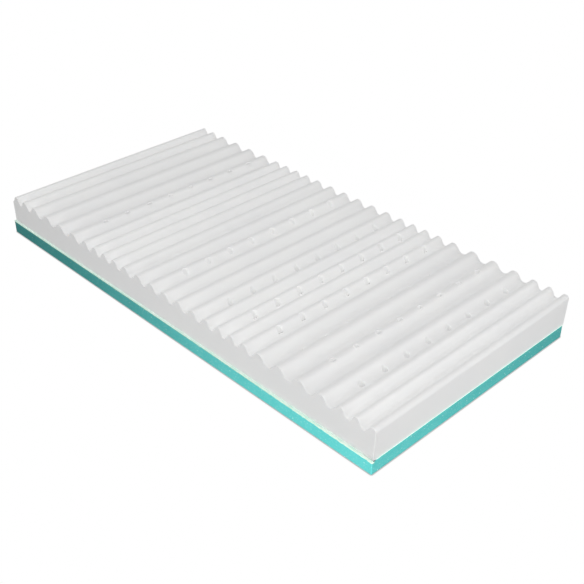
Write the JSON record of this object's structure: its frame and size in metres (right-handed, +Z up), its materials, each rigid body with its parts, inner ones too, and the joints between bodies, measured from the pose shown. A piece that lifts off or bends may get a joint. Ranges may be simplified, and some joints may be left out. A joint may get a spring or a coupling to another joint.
{
  "type": "pressure relief mattress",
  "caption": "Layered foam pressure relief mattress core: a firm base slab under a ridged, vented top layer, bending at the hip, thigh and knee to follow a profiling bed.",
  "frame": {"origin": "centre of the underside, midway along and across the base slab", "axes": "+X from the head end to the foot end, +Y across the width, +Z up through the ridged top"},
  "size_m": [2, 1, 0.171],
  "materials": {
    "base_foam": "matte firm open-cell foam, turquoise, with fine pale speckle",
    "adhesive_film": "pale dried foam adhesive, uneven at its edge",
    "top_foam": "matte soft open-cell foam, white, contour cut"
  },
  "bodies": {
    "back": {"base_back": "base_foam", "adhesive_back": "adhesive_film", "top_back": "top_foam"},
    "hip_fold_upper": {"base_hip_fold_upper": "base_foam", "adhesive_hip_fold_upper": "adhesive_film", "top_hip_fold_upper": "top_foam"},
    "hip_fold_lower": {"base_hip_fold_lower": "base_foam", "adhesive_hip_fold_lower": "adhesive_film", "top_hip_fold_lower": "top_foam"},
    "seat": {"base_seat": "base_foam", "adhesive_seat": "adhesive_film", "top_seat": "top_foam"},
    "thigh_fold": {"base_thigh_fold": "base_foam", "adhesive_thigh_fold": "adhesive_film", "top_thigh_fold": "top_foam"},
    "thigh": {"base_thigh": "base_foam", "adhesive_thigh": "adhesive_film", "top_thigh": "top_foam"},
    "knee_fold_upper": {"base_knee_fold_upper": "base_foam", "adhesive_knee_fold_upper": "adhesive_film", "top_knee_fold_upper": "top_foam"},
    "knee_fold_lower": {"base_knee_fold_lower": "base_foam", "adhesive_knee_fold_lower": "adhesive_film", "top_knee_fold_lower": "top_foam"},
    "calf": {"base_calf": "base_foam", "adhesive_calf": "adhesive_film", "top_calf": "top_foam"}
  },
  "joints": [
    {"name": "hip_bend_lower", "type": "hinge", "parent": "seat", "child": "hip_fold_lower", "pos_m": [-0.097, 0, 0.0495], "axis": [0, 1, 0], "range_deg": [0, 23.3], "stiffness_Nm_per_rad": 80, "deforming": ["base_hip_fold_lower", "adhesive_hip_fold_lower", "top_hip_fold_lower"]},
    {"name": "hip_bend_middle", "type": "hinge", "parent": "hip_fold_lower", "child": "hip_fold_upper", "pos_m": [-0.24575, 0, 0.0495], "axis": [0, 1, 0], "range_deg": [0, 23.3], "stiffness_Nm_per_rad": 80, "deforming": ["base_hip_fold_upper", "adhesive_hip_fold_upper", "top_hip_fold_upper"]},
    {"name": "hip_bend_upper", "type": "hinge", "parent": "hip_fold_upper", "child": "back", "pos_m": [-0.372, 0, 0.0495], "axis": [0, 1, 0], "range_deg": [0, 23.3], "stiffness_Nm_per_rad": 80},
    {"name": "thigh_bend_upper", "type": "hinge", "parent": "seat", "child": "thigh_fold", "pos_m": [-0.02, 0, 0.0495], "axis": [0, -1, 0], "range_deg": [0, 20], "stiffness_Nm_per_rad": 80, "deforming": ["base_thigh_fold", "adhesive_thigh_fold", "top_thigh_fold"]},
    {"name": "thigh_bend_lower", "type": "hinge", "parent": "thigh_fold", "child": "thigh", "pos_m": [0.134, 0, 0.0495], "axis": [0, -1, 0], "range_deg": [0, 20], "stiffness_Nm_per_rad": 80},
    {"name": "knee_bend_upper", "type": "hinge", "parent": "thigh", "child": "knee_fold_upper", "pos_m": [0.276, 0, 0.0495], "axis": [0, 1, 0], "range_deg": [0, 18], "stiffness_Nm_per_rad": 80, "deforming": ["base_knee_fold_upper", "adhesive_knee_fold_upper", "top_knee_fold_upper"]},
    {"name": "knee_bend_middle", "type": "hinge", "parent": "knee_fold_upper", "child": "knee_fold_lower", "pos_m": [0.4, 0, 0.0495], "axis": [0, 1, 0], "range_deg": [0, 18], "stiffness_Nm_per_rad": 80, "deforming": ["base_knee_fold_lower", "adhesive_knee_fold_lower", "top_knee_fold_lower"]},
    {"name": "knee_bend_lower", "type": "hinge", "parent": "knee_fold_lower", "child": "calf", "pos_m": [0.548, 0, 0.0495], "axis": [0, 1, 0], "range_deg": [0, 18], "stiffness_Nm_per_rad": 80}
  ],
  "couplings": [
    {"joint": "hip_bend_middle", "follows": "hip_bend_lower", "ratio": 1},
    {"joint": "hip_bend_upper", "follows": "hip_bend_lower", "ratio": 1},
    {"joint": "thigh_bend_lower", "follows": "thigh_bend_upper", "ratio": 1},
    {"joint": "knee_bend_middle", "follows": "knee_bend_upper", "ratio": 1},
    {"joint": "knee_bend_lower", "follows": "knee_bend_upper", "ratio": 1}
  ]
}
